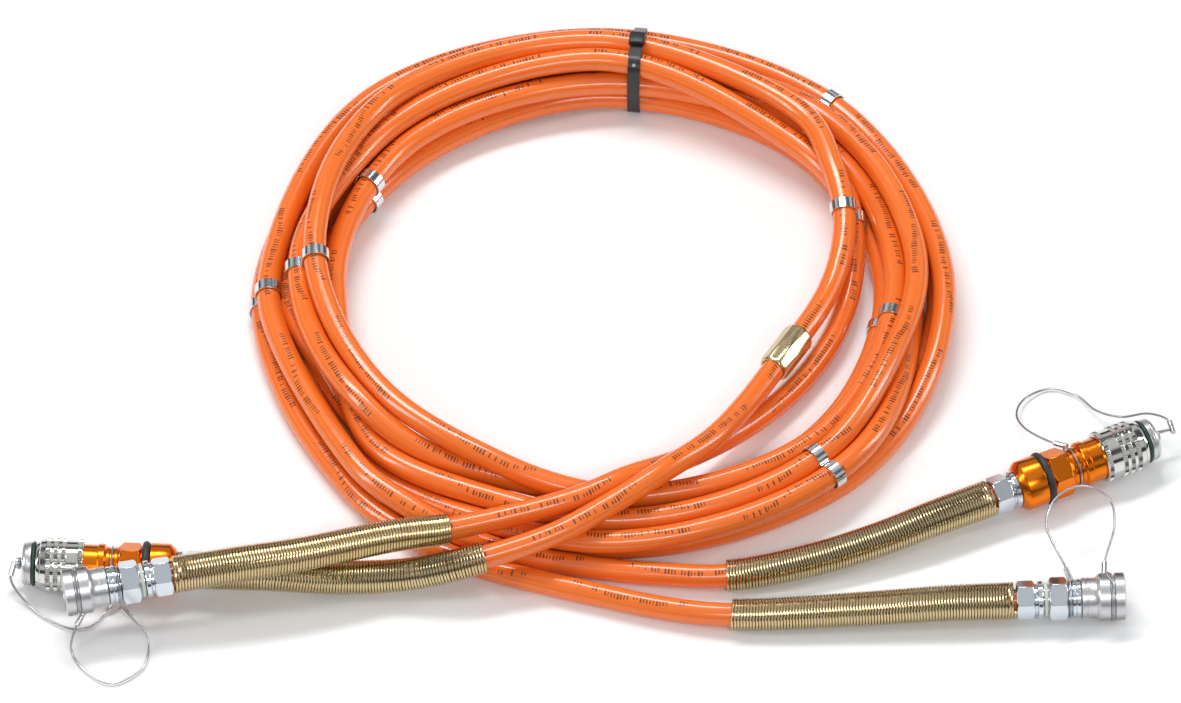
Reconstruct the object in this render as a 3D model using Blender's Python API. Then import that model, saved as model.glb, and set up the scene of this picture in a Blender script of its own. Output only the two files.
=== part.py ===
"""Twin hydraulic hose assembly: two hoses clipped in pairs and coiled, with couplers and nipples.

Metres, +Z up. The coil lies on the floor, and both loose ends come towards the front.
"""
import math

import bmesh
import bpy
import numpy as np
from mathutils import Matrix, Vector

MM = 0.001
GAP = 0.3 * MM            # between pieces that touch

# Hose
HOSE_OD = 13.5 * MM
HOSE_SIDES = 2            # bevel_resolution of the plain tubes
HOSE_APART = HOSE_OD + 0.35 * MM
TUBE_STEP = 2 * HOSE_OD
TUBE_SLIM = 1.0 * MM       # off the radius, so that straight steps stay clear of each other
PATH_STEP = 11 * MM

# Coil: the outer shape of the four turns
COIL_CENTRE_Y = -7 * MM
COIL_RADIUS = 175 * MM
BUNDLE_OD = 44.6 * MM
COIL_STEPS = 48
COIL_LIFT = 2.5 * MM       # room for the tie to pass under it
BUNDLE_SIDES = 16
CHANNEL_CLEARANCE = 1.4 * MM

# Spring guards, over the hose at each end
GUARD_LENGTH = 162 * MM
GUARD_WIRE = 1.65 * MM
GUARD_CLEARANCE = 0.75 * MM
GUARD_FLARE = 1.7 * MM     # how much wider the guard's coupling end is, on the radius
GUARD_SIDES = 14

# Crimped hex ferrules
FERRULE_LENGTH = 10.7 * MM
FERRULE_FLATS = 19.5 * MM
COLLAR_LENGTH = 4.6 * MM
COLLAR_OD = 21.4 * MM
BORE = 6.0 * MM

# Female coupler
BODY_OD = 29 * MM
BODY_CONE = 3.7 * MM
BODY_BARREL = 11.5 * MM
BUMPER_WIDTH = 4 * MM
BUMPER_OD = 31 * MM
BUMPER_GROOVE_OD = 24.5 * MM
FLATS_LENGTH = 13 * MM
FLATS_ACROSS = 25 * MM
TETHER_GROOVE_LENGTH = 8 * MM
TETHER_GROOVE_OD = 22.5 * MM
FLANGE_LENGTH = 4 * MM
FLANGE_OD = 26 * MM
NOSE_OD = 24.5 * MM
NOSE_LENGTH = 9 * MM       # the part in view behind the locking sleeve
SLEEVE_LENGTH = 27 * MM
SLEEVE_OD = 30 * MM
SPIGOT_OD = 21.4 * MM      # inside the locking sleeve
SLEEVE_FIT = 0.4 * MM      # round the spigot and the nose, on the radius
SPRING_ROOM = 12 * MM      # depth of the locking sleeve's hollow end
NOSE_OVERLAP = 1 * MM
SOCKET_BORE = 16.4 * MM
SOCKET_DEPTH = 22 * MM
LINER_OD = SOCKET_BORE - 2 * GAP
LINER_BORE = 12.9 * MM
BALL_RING_LENGTH = 3 * MM
SEAL_LENGTH = 2.5 * MM

# Dust plug in the coupler
PLUG_HEAD = 5.5 * MM
PLUG_OD = 24.7 * MM
PLUG_STEM = 10 * MM
PLUG_RING = 1.6 * MM       # the soft ring under the head

# Male nipple
NECK_LENGTH = 7.4 * MM
NECK_OD = 17 * MM
SEAL_RING_OD = 19.4 * MM
SEAL_RING_WIDTH = 2.2 * MM
NUT_LENGTH = 11.4 * MM
NUT_FLATS = 21.8 * MM
NIPPLE_COLLAR = 7 * MM
NIPPLE_COLLAR_OD = 22 * MM
NIPPLE_GROOVE_OD = 19.4 * MM
PROBE_OD = 12.2 * MM
PROBE_LENGTH = 20 * MM
CAP_LENGTH = 25 * MM
CAP_RIBBED = 10.4 * MM
CAP_RIBBED_OD = 23.4 * MM
CAP_HEAD_OD = 27 * MM
CAP_GROOVE_OD = 24.6 * MM
CAP_GROOVE = 2.0 * MM

# Valves inside both couplings
VALVE_OD = 7.6 * MM
VALVE_BORE = 9.2 * MM
VALVE_LENGTH = 7 * MM
VALVE_LIP = 1.5 * MM       # in front of the poppet, where it closes
VALVE_SPRING_LENGTH = 8 * MM

# Tethers: thin wire rope with crimped sleeves
TETHER_OD = 1.3 * MM
CRIMP_LENGTH = 9 * MM
CRIMP_OD = 3.4 * MM

# Twin clips, marker sleeve and cable tie
CLIP_WIDTH = 6.6 * MM
CLIP_THICK = 0.9 * MM
CLIP_CLEARANCE = 0.35 * MM
CLIP_WAIST = 2.2 * MM
CLIP_PITCH = HOSE_OD + 1.5 * MM
CLIP_ROOM = 1.2 * MM
CLIP_HEIGHT = 9 * MM       # the least height of a hose's middle inside a clip
SLEEVE_MARK_LENGTH = 31 * MM
SLEEVE_MARK_FLATS = 16.8 * MM
TIE_WIDTH = 7 * MM
TIE_THICK = 1.4 * MM
TIE_X = 19.5 * MM

# The middle of the assembly's underside, on the routes' grid; it becomes the origin
MIDDLE = (-6.22 * MM, -49.82 * MM, -0.06 * MM)

# Where the couplings start, in millimetres, their heading in degrees from +X, and their climb
LEFT_COUPLER = ((-227, -218, 15.5), 177, 0)
LEFT_NIPPLE = ((-245, -237, 33), 189.5, -3.5)
RIGHT_COUPLER = ((220.5, -162.5, 15.5), 26, 0)
RIGHT_NIPPLE = ((233.5, -239, 13.6), 3, 0)

# Hose routes in millimetres. A turn gives the hose's distance from the middle and its height at
# each eighth of the way round, from 45 degrees; the free ends give points.
TURNS_A = [
    [(161, 38), (170, 37), (173.5, 38), (168, 37), (165, 27), (166, 20), (172, 20), (166.5, 20.5)],
    [(163, 22), (152, 24), (156, 22), (161, 19.5), (185, 20), (186.5, 20), (187, 22), (180.5, 24)],
    [(174.5, 25), (167, 22.3), (170, 20), (175, 14), (162, 7), (174, 7), (180, 7), (191.5, 7)],
    [(187, 7), (180, 12), (188, 10), (193.3, 7), (200.5, 7)],
]
TURNS_B = [
    [(152, 27), (158, 36), (166, 27), (174.5, 26), (173.5, 19), (158, 7.5), (164, 7.5), (163, 7)],
    [(160, 8), (155, 10), (151, 10), (166.5, 7), (188.5, 7), (202, 19.5), (199.5, 20), (177.5, 7.5)],
    [(173.5, 8), (168, 7), (166, 8), (180, 7), (175, 7), (193, 7), (196.5, 7.5), (192.5, 20)],
    [(186.5, 20), (182, 27), (192, 25), (186.5, 20), (198.5, 20)],
]
START_A = [(-150, -220.5, 12.5), (-112, -221.5, 16), (-75, -219, 25), (-28, -204, 32), (1, -186, 36),
           (32, -162, 38), (60, -133, 32), (80, -101, 25), (101, -63, 22), (121, -28, 22),
           (131, -5, 23), (137, 18, 27), (138, 46, 31), (132, 73, 35)]
START_B = [(-174, -224, 35.5), (-120, -209, 35), (-83, -199.5, 31.5), (-16, -182, 34), (14, -166, 33),
           (47, -140, 22), (84, -103, 11), (112, -69, 8), (131, -37, 9), (141, -9, 10),
           (146, 16, 13), (148, 41, 17), (143, 72, 22)]
FINISH_A = [(-103, -180, 7), (-66, -202, 7), (-30, -217, 7), (1, -228, 7), (32, -238, 7.5),
            (70, -245.5, 9), (143, -243.8, 11.5)]
FINISH_B = [(-112, -168, 17), (-80, -185, 11), (-45, -197, 8), (1, -208, 7), (32, -213, 7.5),
            (71, -216, 9), (121, -205, 11), (160, -191, 13.5)]
STRAIGHT_OUT = (14, 40)     # millimetres from a hose end that the hose stays straight

# Clips: degrees round the coil, with the first turn's right-hand side at 0 and each turn 360 more
CLIP_ANGLES = (18, 181, 350, 512, 671, 824, 1126, 1264)
COIL_FROM = 36             # degrees, where the free ends run into the coil and leave it
COIL_TO = 1080 + 234
MARKER_POINT = (101, -61)

# Tethers, points in millimetres, from the coupling's groove to its plug or cap
TETHERS = {
    "left_coupler": [(-278, -231.5, 6), (-283, -238, 2), (-291, -248, 1), (-300, -250.5, 1),
                     (-315, -243, 1), (-329, -230, 3), (-337, -219, 9), (-335.5, -213, 14)],
    "left_nipple": [(-272, -252, 20), (-266, -254, 13), (-259, -258, 6), (-258, -266, 2),
                    (-262, -280, 1), (-279, -291, 1), (-295, -280, 1), (-302, -266, 3),
                    (-300, -257, 9), (-296, -251, 14)],
    "right_coupler": [(262, -127, 20), (254, -122, 18), (240, -106, 12), (236, -91, 7),
                      (241, -76, 3), (255, -67, 1.5), (270, -72, 2), (282, -87, 5),
                      (296, -97, 11), (311, -98, 15), (322, -103, 15.5), (324.5, -110.5, 15.5)],
    "right_nipple": [(264, -231, 24), (261, -224, 27), (251, -194, 30), (258, -177, 33),
                     (273, -170, 34), (287, -178, 32), (290, -194, 29), (284, -222, 28),
                     (283.5, -229, 27.5)],
}

PALETTE = {
    "hose": ((0.80, 0.20, 0.035), 0.35, 0.0), "zinc": ((0.72, 0.75, 0.78), 0.25, 1.0),
    "yellow_zinc": ((0.62, 0.55, 0.32), 0.3, 1.0), "anodised": ((0.75, 0.22, 0.03), 0.25, 1.0),
    "nickel": ((0.75, 0.74, 0.72), 0.15, 1.0), "aluminium": ((0.6, 0.6, 0.6), 0.4, 1.0),
    "rubber": ((0.03, 0.03, 0.035), 0.5, 0.0), "nylon": ((0.03, 0.03, 0.03), 0.4, 0.0),
    "steel": ((0.55, 0.55, 0.56), 0.3, 1.0), "seal": ((0.75, 0.75, 0.68), 0.5, 0.0),
}


def clear_scene():
    for thing in list(bpy.data.objects):
        bpy.data.objects.remove(thing)


def material(kind):
    made = bpy.data.materials.get(kind)
    if made:
        return made.copy()
    colour, rough, metal = PALETTE[kind]
    made = bpy.data.materials.new(kind)
    made.use_nodes = True
    shader = made.node_tree.nodes["Principled BSDF"]
    shader.inputs["Base Color"].default_value = (*colour, 1)
    shader.inputs["Roughness"].default_value = rough
    shader.inputs["Metallic"].default_value = metal
    return made


def add(name, data, kind, place=None):
    thing = bpy.data.objects.new(name, data)
    bpy.context.collection.objects.link(thing)
    data.materials.append(material(kind))
    if place is not None:
        thing.matrix_world = place
    return thing


def mesh_from(work, name):
    bmesh.ops.recalc_face_normals(work, faces=work.faces)
    mesh = bpy.data.meshes.new(name)
    work.to_mesh(mesh)
    work.free()
    return mesh


# ---- hose routes ----------------------------------------------------------------------------

def coil_points(turns):
    points = []
    for turn in turns:
        for eighth, (radius, height) in enumerate(turn):
            angle = math.radians(45 * (eighth + 1))
            points.append((radius * math.cos(angle), radius * math.sin(angle), height))
    return points


def heading(direction, climb):
    turn, rise = math.radians(direction), math.radians(climb)
    return Vector((math.cos(turn) * math.cos(rise), math.sin(turn) * math.cos(rise), math.sin(rise)))


def hose_end(coupling):
    """The last points of a hose, straight behind its coupling, in millimetres, tip first."""
    start, direction, climb = coupling
    back = -heading(direction, climb)
    return [tuple(Vector(start) + back * step) for step in (0, *STRAIGHT_OUT)]


def smooth_path(points, step):
    """Evenly spaced points along a smooth curve through the given ones."""
    p = np.array(points, float) * MM
    p = np.vstack([2 * p[0] - p[1], p, 2 * p[-1] - p[-2]])
    pieces = []
    for before, start, end, after in zip(p, p[1:], p[2:], p[3:]):
        knots = np.cumsum([0] + [np.linalg.norm(b - a) ** 0.5 for a, b in
                                 ((before, start), (start, end), (end, after))])
        t = np.linspace(knots[1], knots[2], 24, endpoint=False)[:, None]

        def mix(a, b, low, high):
            return ((high - t) * a + (t - low) * b) / (high - low)

        one = mix(before, start, knots[0], knots[1])
        two = mix(start, end, knots[1], knots[2])
        three = mix(end, after, knots[2], knots[3])
        pieces.append(mix(mix(one, two, knots[0], knots[2]), mix(two, three, knots[1], knots[3]),
                          knots[1], knots[2]))
    return resample(np.vstack(pieces + [p[-2][None]]), step)


def resample(path, step):
    along = np.concatenate([[0], np.cumsum(np.linalg.norm(np.diff(path, axis=0), axis=1))])
    marks = np.linspace(0, along[-1], max(2, round(along[-1] / step)) + 1)
    return np.stack([np.interp(marks, along, path[:, k]) for k in range(3)], 1)


def turned_through(path):
    """How far round the coil each point is, in degrees."""
    return np.degrees(np.unwrap(np.arctan2(path[:, 1], path[:, 0])))


def clip_marks(paths):
    return [np.array([abs(turned_through(path) - angle).argmin() for angle in CLIP_ANGLES])
            for path in paths]


def settle(paths, rounds=240, pinned=15):
    """Moves hoses apart until they lie a diameter from each other, on the floor or above it."""
    sizes = [len(path) for path in paths]
    home = np.vstack(paths)
    hose = np.repeat(np.arange(len(paths)), sizes)
    index = np.concatenate([np.arange(size) for size in sizes])
    links = np.array([i for i in range(len(home) - 1) if hose[i] == hose[i + 1]])
    own = (hose[:, None] == hose[links]) & (abs(index[:, None] - index[links] - 0.5) < 4)
    last = np.array(sizes)[hose] - 1
    held = (index < pinned) | (index > last - pinned)
    inner = (index > 0) & (index < last)
    first, second = (np.concatenate([marks - 1, marks, marks + 1]) for marks in clip_marks(paths))
    second = second + sizes[0]
    points = home.copy()
    for count in range(rounds):
        if count % 10 == 0:
            gaps = np.linalg.norm(points[:, None] - points[links] / 2 - points[links + 1] / 2, axis=2)
            near, link = np.nonzero((gaps < 2 * HOSE_OD) & ~own)
        start = points[links[link]]
        run = points[links[link] + 1] - start
        offset = points[near] - start
        share = np.clip((offset * run).sum(1) / (run * run).sum(1), 0, 1)[:, None]
        apart = offset - share * run
        length = np.maximum(np.linalg.norm(apart, axis=1), 1e-6)[:, None]
        push = apart / length * np.maximum(HOSE_APART - length, 0) * 0.25
        move = np.zeros_like(points)
        np.add.at(move, near, push)
        np.add.at(move, links[link], -push * (1 - share))
        np.add.at(move, links[link] + 1, -push * share)
        move[held] = 0
        points += move
        across = points[first] - points[second]
        length = np.linalg.norm(across, axis=1)[:, None]
        points[first] += across / length * (CLIP_PITCH - length) / 2
        points[second] -= across / length * (CLIP_PITCH - length) / 2
        if count < rounds - 60:
            points += 0.02 * (home - points)
        shift = points - home
        middle = np.nonzero(inner & ~held)[0]
        shift[middle] += 0.25 * (shift[middle - 1] + shift[middle + 1] - 2 * shift[middle])
        points = home + shift
        points[:, 2] = np.maximum(points[:, 2], HOSE_OD / 2)
        for marks in (first, second):
            points[marks, 2] = np.maximum(points[marks, 2], CLIP_HEIGHT)
    return np.split(points, np.cumsum(sizes)[:-1])


def hose_paths():
    route_a = hose_end(LEFT_COUPLER) + START_A + coil_points(TURNS_A) + FINISH_A
    route_a += hose_end(RIGHT_NIPPLE)[::-1]
    route_b = hose_end(LEFT_NIPPLE) + START_B + coil_points(TURNS_B) + FINISH_B
    route_b += hose_end(RIGHT_COUPLER)[::-1]
    return settle([smooth_path(route, PATH_STEP) for route in (route_a, route_b)])


# ---- shapes ---------------------------------------------------------------------------------

def place(coupling):
    """The coupling's own frame: +X runs from the hose end to the tip."""
    start, direction, climb = coupling
    turn = Matrix.Rotation(math.radians(direction), 4, "Z")
    rise = Matrix.Rotation(math.radians(-climb), 4, "Y")
    return Matrix.Translation(Vector(start) * MM) @ turn @ rise


def ring_points(along, radius, across_flats, sides):
    points = []
    for k in range(sides):
        angle = 2 * math.pi * k / sides
        reach = radius
        if across_flats:
            reach = radius / math.cos((angle + math.pi / 6) % (math.pi / 3) - math.pi / 6)
        points.append((along, reach * math.cos(angle), reach * math.sin(angle)))
    return points


def turned(name, outside, kind, frame, inside=(), sides=24):
    """A turned piece along +X. Stations are (distance, diameter) or (distance, across flats, True);
    the outside runs forwards and the inside, if any, backwards."""
    work = bmesh.new()
    rings = []
    for station in (*outside, *inside):
        along, across, *flats = station
        points = ring_points(along, across / 2, bool(flats), sides)
        rings.append([work.verts.new(point) for point in points])
    pairs = list(zip(rings, rings[1:]))
    if inside:
        pairs.append((rings[-1], rings[0]))
    else:
        work.faces.new(rings[0])
        work.faces.new(rings[-1])
    for one, two in pairs:
        for k in range(sides):
            work.faces.new((one[k], two[k], two[(k + 1) % sides], one[(k + 1) % sides]))
    return add(name, mesh_from(work, name), kind, frame)


def pipe(name, start, end, outer, inner, kind, frame, sides=24):
    return turned(name, [(start, outer), (end, outer)], kind, frame,
                  [(end, inner), (start, inner)], sides)


def tube(name, path, diameter, kind, resolution, swell=None):
    """A plain cord solid: a curve with a round bevel, on straight steps between its points."""
    curve = bpy.data.curves.new(name, "CURVE")
    curve.dimensions = "3D"
    curve.bevel_depth = diameter / 2
    curve.bevel_resolution = resolution
    curve.use_fill_caps = True
    spline = curve.splines.new("POLY")
    spline.points.add(len(path) - 1)
    for count, point in enumerate(path):
        spline.points[count].co = (*point, 1)
        if swell:
            spline.points[count].radius = swell[count]
    return add(name, curve, kind)


def sweep(name, path, outer, kind, sides, inner=None):
    """A tube along a path, hollow where inner is given; outer gives the radius at each point."""
    work = bmesh.new()
    points = [Vector(point) for point in path]
    rings = []
    for radii in (outer, [inner] * len(points) if inner else None):
        if radii is None:
            break
        line = []
        for k, point in enumerate(points):
            before = points[max(k - 1, 0)]
            after = points[min(k + 1, len(points) - 1)]
            run = (after - before).normalized()
            side = run.cross(Vector((0, 0, 1))).normalized()
            up = side.cross(run)
            line.append([work.verts.new(point + radii[k] * (side * math.cos(turn) + up * math.sin(turn)))
                         for turn in (2 * math.pi * n / sides for n in range(sides))])
        rings.append(line)
    loop = rings[0] + rings[-1][::-1] if inner else rings[0]
    pairs = list(zip(loop, loop[1:]))
    if inner:
        pairs.append((loop[-1], loop[0]))
    else:
        work.faces.new(loop[0])
        work.faces.new(loop[-1])
    for one, two in pairs:
        for k in range(sides):
            work.faces.new((one[k], two[k], two[(k + 1) % sides], one[(k + 1) % sides]))
    return add(name, mesh_from(work, name), kind)


def cut(thing, cutter):
    cutter.hide_render = True
    cutter.display_type = "WIRE"
    boolean = thing.modifiers.new(cutter.name, "BOOLEAN")
    boolean.operation = "DIFFERENCE"
    boolean.solver = "EXACT"
    boolean.object = cutter


# ---- hoses, coil and what holds them ----------------------------------------------------------

def free_end(name, path, from_start):
    """The plain tube along one free end, and a fatter one that cuts its way through the coil."""
    angles = turned_through(path)
    stretch = path[angles <= COIL_FROM] if from_start else path[angles >= COIL_TO][::-1]
    line = resample(stretch, TUBE_STEP)
    run = line[1] - line[0]
    line[0] += run / np.linalg.norm(run) * GAP
    tube(name, line, HOSE_OD - 2 * TUBE_SLIM, "hose", HOSE_SIDES)
    longer = np.vstack([line, line[-1] + (line[-1] - line[-2]) / 8])
    room = [HOSE_OD / 2 + CHANNEL_CLEARANCE] * len(longer)
    return line, sweep(name + "_channel", longer, room, "hose", 2 * HOSE_SIDES + 4)


def coil():
    """One closed ring in the outer shape of the four turns."""
    work = bmesh.new()
    middle = BUNDLE_OD / 2
    corner = middle / math.cos(math.pi / BUNDLE_SIDES)
    rings = []
    for step in range(COIL_STEPS):
        angle = 2 * math.pi * (step + 0.5) / COIL_STEPS
        line = []
        for side in range(BUNDLE_SIDES):
            turn = 2 * math.pi * (side + 0.5) / BUNDLE_SIDES
            radius = COIL_RADIUS + corner * math.cos(turn)
            line.append(work.verts.new((radius * math.cos(angle),
                                        COIL_CENTRE_Y + radius * math.sin(angle),
                                        COIL_LIFT + middle + corner * math.sin(turn))))
        rings.append(line)
    for one, two in zip(rings, rings[1:] + rings[:1]):
        for k in range(BUNDLE_SIDES):
            following = (k + 1) % BUNDLE_SIDES
            work.faces.new((one[k], two[k], two[following], one[following]))
    return add("hose_coil", mesh_from(work, "hose_coil"), "hose")


def guard(name, line):
    """The spring guard over a hose end, from its coupling: its outer shape, as a hollow sleeve."""
    along = np.concatenate([[0], np.cumsum(np.linalg.norm(np.diff(line, axis=0), axis=1))])
    count = int(np.searchsorted(along, GUARD_LENGTH))
    points = list(line[:count])
    rest = (GUARD_LENGTH - along[count - 1]) / (along[count] - along[count - 1])
    points.append(line[count - 1] + rest * (line[count] - line[count - 1]))
    inner = HOSE_OD / 2 + GUARD_CLEARANCE
    far = GUARD_LENGTH
    marks = [*along[:count], far]
    outer = [float(inner + GUARD_WIRE + GUARD_FLARE * (1 - mark / far)) for mark in marks]
    return sweep(name, points, outer, "yellow_zinc", GUARD_SIDES, inner)


def clip_frame(paths, angle):
    """Midway between the pair: X along the hoses, Y from one hose to the other."""
    ends = []
    for path in paths:
        mark = abs(turned_through(path) - angle).argmin()
        ends.append((Vector(path[mark]), Vector(path[mark + 1] - path[mark - 1]).normalized()))
    (one, run_one), (two, run_two) = ends
    run = (run_one + run_two).normalized()
    across = one - two
    across = (across - across.dot(run) * run).normalized()
    up = run.cross(across)
    frame = Matrix((run, across, up)).transposed().to_4x4()
    frame.translation = (one + two) / 2
    return frame


def clip(name, frame):
    """A twin clip: two round loops joined by a narrow waist, flat bands of one width."""
    bore = HOSE_OD / 2 + CLIP_CLEARANCE
    radius = bore + CLIP_THICK
    opened = math.asin(CLIP_WAIST / radius)
    turns = [-math.pi + opened + k * (math.pi - opened) / 8 for k in range(17)]
    outside, holes = [], []
    for side in (1, -1):
        outside.append([(side * (CLIP_PITCH / 2 + radius * math.cos(turn)),
                         side * radius * math.sin(turn)) for turn in turns])
        holes.append([(side * (CLIP_PITCH / 2 + bore * math.cos(turn)),
                       side * bore * math.sin(turn)) for turn in turns + [math.pi]])
    work = bmesh.new()
    ends = []
    for along in (-CLIP_WIDTH / 2, CLIP_WIDTH / 2):
        outer = [[work.verts.new((along, *corner)) for corner in loop] for loop in outside]
        inner = [[work.verts.new((along, *corner)) for corner in loop] for loop in holes]
        web = []
        for out, hole in zip(outer, inner):
            for k in range(16):
                work.faces.new((out[k], out[k + 1], hole[k + 1], hole[k]))
            web += [out[0], hole[0], hole[-1], hole[16], out[16]]
        work.faces.new(web)
        ends.append((outer[0] + outer[1], inner[0], inner[1]))
    for near, far in zip(*ends):
        for k, corner in enumerate(near):
            other = (k + 1) % len(near)
            work.faces.new((corner, near[other], far[other], far[k]))
    return add(name, mesh_from(work, name), "zinc", frame)


def clip_pocket(name, frame):
    """Room for a clip in the coil, open at the top."""
    reach = HOSE_OD / 2 + CLIP_CLEARANCE + CLIP_THICK + CLIP_ROOM
    across = frame.to_3x3() @ Vector((0, CLIP_PITCH / 2, 0))
    run = frame.to_3x3() @ Vector((1, 0, 0))
    climb = abs(run.z)
    low = frame.translation.z - abs(across.z) - reach - climb * CLIP_WIDTH
    high = BUNDLE_OD + 2 * CLIP_WIDTH
    width = 2 * (across.xy.length + reach)
    middle = frame.translation
    lean = math.atan2(run.y, run.x)
    length = CLIP_WIDTH + 3 * CLIP_ROOM + 2 * climb * (CLIP_PITCH / 2 + reach)
    bpy.ops.mesh.primitive_cube_add(size=1)
    box = bpy.context.object
    box.name = name
    box.matrix_world = (Matrix.Translation((middle.x, middle.y, (low + high) / 2))
                        @ Matrix.Rotation(lean, 4, "Z")
                        @ Matrix.Diagonal((length, width, high - low, 1)))
    return box


def marker(path):
    """The crimped marker sleeve, an octagon round one hose."""
    spot = np.linalg.norm(path[:, :2] - np.array(MARKER_POINT) * MM, axis=1)
    middle = int(spot[:len(path) // 4].argmin())
    nearest = max(1, min(middle, len(path) - 2))
    run = Vector(path[nearest + 1] - path[nearest - 1]).normalized()
    frame = run.to_track_quat("X", "Z").to_matrix().to_4x4()
    frame.translation = Vector(path[nearest])
    half = SLEEVE_MARK_LENGTH / 2
    across = SLEEVE_MARK_FLATS / math.cos(math.pi / 8)
    bore = HOSE_OD + 2 * CLIP_CLEARANCE
    return pipe("marker_sleeve", -half, half, across, bore, "yellow_zinc", frame, 8)


def tie():
    """A nylon tie round the coil: a round band, with its locking head outside."""
    inner = BUNDLE_OD / math.cos(math.pi / BUNDLE_SIDES) + 4 * GAP
    lean = math.asin(TIE_X / COIL_RADIUS)
    frame = Matrix.Translation((TIE_X, COIL_CENTRE_Y + COIL_RADIUS * math.cos(lean), 0))
    frame = frame @ Matrix.Rotation(-lean, 4, "Z") @ Matrix.Translation((0, 0, COIL_LIFT + BUNDLE_OD / 2))
    return pipe("cable_tie", -TIE_WIDTH / 2, TIE_WIDTH / 2, inner + 2 * TIE_THICK, inner, "nylon",
                frame, 32)


# ---- couplings --------------------------------------------------------------------------------

def ferrule(side, frame):
    """The crimped hex ferrule with its round collar."""
    collar = FERRULE_LENGTH
    turned(side + "_ferrule",
           [(0, FERRULE_FLATS, True), (collar, FERRULE_FLATS, True), (collar, COLLAR_OD),
            (collar + COLLAR_LENGTH, COLLAR_OD)], "zinc", frame,
           [(collar + COLLAR_LENGTH, BORE), (0, BORE)])
    return collar + COLLAR_LENGTH + GAP


def valve(side, seat, frame):
    """The valve behind its seat: a pointed poppet that slides back, and its spring."""
    back = seat - GAP - VALVE_LENGTH
    turned(side + "_poppet", [(back, VALVE_OD), (seat - 3 * MM, VALVE_OD), (seat - GAP, VALVE_OD / 3)],
           "steel", frame, sides=16)
    spring_end = back - GAP
    pipe(side + "_poppet_spring", spring_end - VALVE_SPRING_LENGTH, spring_end, VALVE_OD,
         VALVE_OD - 2 * MM, "steel", frame, 16)


def coupler(side, coupling):
    """The female quick coupler. Distances run from the hose end."""
    frame = place(coupling)
    back = ferrule(side, frame)
    barrel = back + BODY_CONE
    bumper = barrel + BODY_BARREL
    flats = bumper + BUMPER_WIDTH + 2 * GAP
    groove = flats + FLATS_LENGTH
    flange = groove + TETHER_GROOVE_LENGTH
    nose = flange + FLANGE_LENGTH
    spigot = nose + NOSE_LENGTH
    sleeve = spigot - NOSE_OVERLAP
    front = sleeve + SLEEVE_LENGTH - MM
    seat = front - SOCKET_DEPTH
    lip = seat - VALVE_LIP
    chamber = lip - VALVE_LENGTH - VALVE_SPRING_LENGTH - 3 * GAP
    turned(side + "_body",
           [(back, COLLAR_OD), (barrel, BODY_OD), (bumper, BODY_OD), (bumper, BUMPER_GROOVE_OD),
            (flats, BUMPER_GROOVE_OD), (flats, BODY_OD - 2 * MM), (flats + MM, FLATS_ACROSS, True),
            (groove, FLATS_ACROSS, True), (groove, TETHER_GROOVE_OD), (flange, TETHER_GROOVE_OD),
            (flange, FLANGE_OD), (nose, FLANGE_OD), (nose, NOSE_OD), (spigot, NOSE_OD),
            (spigot, SPIGOT_OD), (front, SPIGOT_OD)],
           "anodised", frame,
           [(front, SOCKET_BORE), (seat, SOCKET_BORE), (seat, BORE), (lip, BORE),
            (lip, VALVE_BORE), (chamber, VALVE_BORE), (chamber, BORE - MM), (back, BORE - MM)])
    pipe(side + "_bumper", bumper + GAP, flats - GAP, BUMPER_OD, BUMPER_GROOVE_OD + 2 * GAP,
         "rubber", frame)
    shoulder = sleeve + SPRING_ROOM
    wide = NOSE_OD + 2 * SLEEVE_FIT
    narrow = SPIGOT_OD + 2 * SLEEVE_FIT
    turned(side + "_sleeve",
           [(sleeve, SLEEVE_OD - MM), (sleeve + MM, SLEEVE_OD), (front - 6 * MM, SLEEVE_OD),
            (front + MM, SLEEVE_OD - 3 * MM)],
           "nickel", frame,
           [(front + MM, narrow), (shoulder, narrow), (shoulder, wide), (sleeve, wide)], 32)
    pipe(side + "_sleeve_spring", spigot + GAP, shoulder - GAP, wide - GAP, SPIGOT_OD + GAP,
         "steel", frame)
    pipe(side + "_seal", seat + GAP, seat + GAP + SEAL_LENGTH, LINER_OD, LINER_BORE, "rubber", frame)
    pipe(side + "_ball_ring", front - 2 * BALL_RING_LENGTH, front - BALL_RING_LENGTH, LINER_OD,
         LINER_BORE, "steel", frame)
    valve(side, lip, frame)
    ring = front + MM + 2 * GAP
    head = ring + PLUG_RING
    turned(side + "_plug",
           [(front - PLUG_STEM, PROBE_OD - MM), (front - PLUG_STEM + MM, PROBE_OD),
            (head + GAP, PROBE_OD), (head + GAP, PLUG_OD), (head + PLUG_HEAD, PLUG_OD - 2 * MM)],
           "aluminium", frame)
    pipe(side + "_plug_ring", ring, head, PLUG_OD + MM, PROBE_OD + 2 * GAP, "rubber", frame)


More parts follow.
